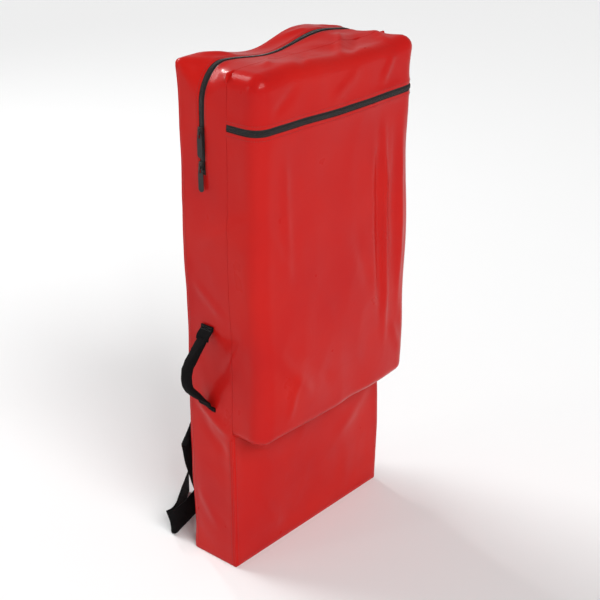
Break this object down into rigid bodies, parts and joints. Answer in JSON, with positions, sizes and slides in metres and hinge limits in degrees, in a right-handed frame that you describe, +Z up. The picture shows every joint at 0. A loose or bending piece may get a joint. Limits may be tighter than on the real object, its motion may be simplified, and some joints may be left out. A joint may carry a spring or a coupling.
{
  "type": "folding spine board in a backpack carry case",
  "caption": "Folded spine board in a standing red vinyl backpack case with a deep front pocket, zipped mouth, shoulder harness, waist belt and carry handle.",
  "frame": {"origin": "centre of the base of the board compartment, on the surface that the case stands on", "axes": "+Z up the standing case, +Y towards the harness side, +X to the wearer's right; the front pocket is on -Y and the carry handle on -X"},
  "size_m": [0.5479, 0.3311, 0.96],
  "materials": {
    "red_vinyl": "glossy vinyl-coated fabric",
    "black_webbing": "woven polypropylene webbing",
    "zip_tape": "zip tape with moulded coil teeth",
    "zip_metal": "dark zip metal",
    "pull_tab": "moulded pull tab",
    "black_plastic": "moulded buckle plastic",
    "board_plastic": "moulded polyethylene",
    "steel": "plated steel"
  },
  "bodies": {
    "case": {"board_panel": "red_vinyl", "back_panel": "red_vinyl", "bottom_panel": "red_vinyl", "side_gusset_left": "red_vinyl", "side_gusset_right": "red_vinyl", "mouth_gusset": "red_vinyl", "main_zip_front_tape": "zip_tape", "pocket_front_panel": "red_vinyl", "pocket_side_left": "red_vinyl", "pocket_side_right": "red_vinyl", "pocket_bottom": "red_vinyl", "pocket_zip_lower_tape": "zip_tape", "handle_tab_top": "black_webbing", "handle_tab_bottom": "black_webbing", "anchor_strip_left": "black_webbing", "anchor_strip_right": "black_webbing", "lower_anchor_left": "black_webbing", "lower_anchor_right": "black_webbing", "board_head_half": "board_plastic", "board_foot_half": "board_plastic", "hinge_leaf_head_left": "steel", "hinge_leaf_foot_left": "steel", "hinge_pin_left": "steel", "hinge_leaf_head_right": "steel", "hinge_leaf_foot_right": "steel", "hinge_pin_right": "steel"},
    "mouth_flap": {"flap_back_panel": "red_vinyl", "flap_gusset": "red_vinyl", "main_zip_rear_tape": "zip_tape"},
    "pocket_lid": {"pocket_lid": "red_vinyl", "pocket_zip_upper_tape": "zip_tape"},
    "main_upper_slider": {"main_upper_slider": "zip_metal"},
    "main_upper_pull": {"main_upper_pull": "pull_tab"},
    "main_lower_slider": {"main_lower_slider": "zip_metal"},
    "main_lower_pull": {"main_lower_pull": "pull_tab"},
    "pocket_slider": {"pocket_slider": "zip_metal"},
    "pocket_pull": {"pocket_pull": "pull_tab"},
    "side_handle": {"side_handle": "black_webbing"},
    "harness": {"shoulder_strap_left": "black_webbing", "shoulder_strap_right": "black_webbing", "belt_centre": "black_webbing"},
    "ladder_lock_left": {"ladder_lock_left": "black_plastic"},
    "ladder_lock_right": {"ladder_lock_right": "black_plastic"},
    "lower_strap_left": {"lower_strap_left": "black_webbing"},
    "lower_strap_right": {"lower_strap_right": "black_webbing"},
    "belt_right_end": {"belt_right_end": "black_webbing"},
    "buckle_socket": {"buckle_socket": "black_plastic"},
    "belt_left_end": {"belt_left_end": "black_webbing", "belt_return": "black_webbing", "belt_tail": "black_webbing"},
    "buckle_prongs": {"buckle_prongs": "black_plastic"}
  },
  "joints": [
    {"name": "mouth_flap_fold", "type": "hinge", "parent": "case", "child": "mouth_flap", "pos_m": [0, 0.0553, 0.7753], "axis": [-1, 0, 0], "range_deg": [0, 100]},
    {"name": "pocket_lid_fold", "type": "hinge", "parent": "case", "child": "pocket_lid", "pos_m": [0, -0.0553, 0.9603], "axis": [-1, 0, 0], "range_deg": [0, 90]},
    {"name": "main_upper_slide", "type": "slide", "parent": "case", "child": "main_upper_slider", "axis": [0, 0, 1], "range_m": [0, 0.07]},
    {"name": "main_lower_slide", "type": "slide", "parent": "case", "child": "main_lower_slider", "axis": [0, 0, 1], "range_m": [0, 0.006]},
    {"name": "pocket_slide", "type": "slide", "parent": "case", "child": "pocket_slider", "axis": [0, -1, 0], "range_m": [0, 0.02]},
    {"name": "main_upper_pull_swing", "type": "hinge", "parent": "main_upper_slider", "child": "main_upper_pull", "pos_m": [-0.221, 0, 0.8498], "axis": [0, 1, 0], "range_deg": [0, 120]},
    {"name": "main_lower_pull_swing", "type": "hinge", "parent": "main_lower_slider", "child": "main_lower_pull", "pos_m": [-0.221, 0, 0.7898], "axis": [0, 1, 0], "range_deg": [0, 120]},
    {"name": "pocket_pull_swing", "type": "hinge", "parent": "pocket_slider", "child": "pocket_pull", "pos_m": [0.221, -0.0648, 0.868], "axis": [0, 0, -1], "range_deg": [0, 120]},
    {"name": "side_handle_swing", "type": "hinge", "parent": "case", "child": "side_handle", "pos_m": [-0.229, 0, 0.41], "axis": [0, 0, 1], "range_deg": [-60, 60]},
    {"name": "harness_lift", "type": "hinge", "parent": "case", "child": "harness", "pos_m": [0, 0.0568, 0.716], "axis": [1, 0, 0], "range_deg": [0, 8]},
    {"name": "ladder_lock_left_tilt", "type": "hinge", "parent": "harness", "child": "ladder_lock_left", "pos_m": [-0.027, 0.0726, 0.2555], "axis": [1, 0, 0], "range_deg": [0, 35]},
    {"name": "ladder_lock_right_tilt", "type": "hinge", "parent": "harness", "child": "ladder_lock_right", "pos_m": [0.125, 0.0726, 0.2555], "axis": [1, 0, 0], "range_deg": [0, 35]},
    {"name": "lower_strap_left_swing", "type": "hinge", "parent": "case", "child": "lower_strap_left", "pos_m": [-0.0318, 0.0606, 0.025], "axis": [-1, 0, 0], "range_deg": [0, 20]},
    {"name": "lower_strap_right_swing", "type": "hinge", "parent": "case", "child": "lower_strap_right", "pos_m": [0.1046, 0.0606, 0.025], "axis": [-1, 0, 0], "range_deg": [0, 20]},
    {"name": "belt_right_swing", "type": "hinge", "parent": "harness", "child": "belt_right_end", "pos_m": [0.246, 0.086, 0.252], "axis": [1, 0, 0], "range_deg": [0, 70]},
    {"name": "buckle_socket_swing", "type": "hinge", "parent": "belt_right_end", "child": "buckle_socket", "pos_m": [0.203, 0.088, 0.053], "axis": [1, 0, 0], "range_deg": [0, 60]},
    {"name": "belt_left_swing", "type": "hinge", "parent": "harness", "child": "belt_left_end", "pos_m": [-0.196, 0.071, 0.228], "axis": [1, 0, 0], "range_deg": [0, 45]},
    {"name": "buckle_prongs_swing", "type": "hinge", "parent": "belt_left_end", "child": "buckle_prongs", "pos_m": [-0.1195, 0.105, 0.0662], "axis": [0.7648, 0, 0.6442], "range_deg": [0, 30]}
  ],
  "couplings": [
    {"joint": "lower_strap_left_swing", "follows": "harness_lift", "ratio": 2.5},
    {"joint": "lower_strap_right_swing", "follows": "harness_lift", "ratio": 2.5}
  ]
}
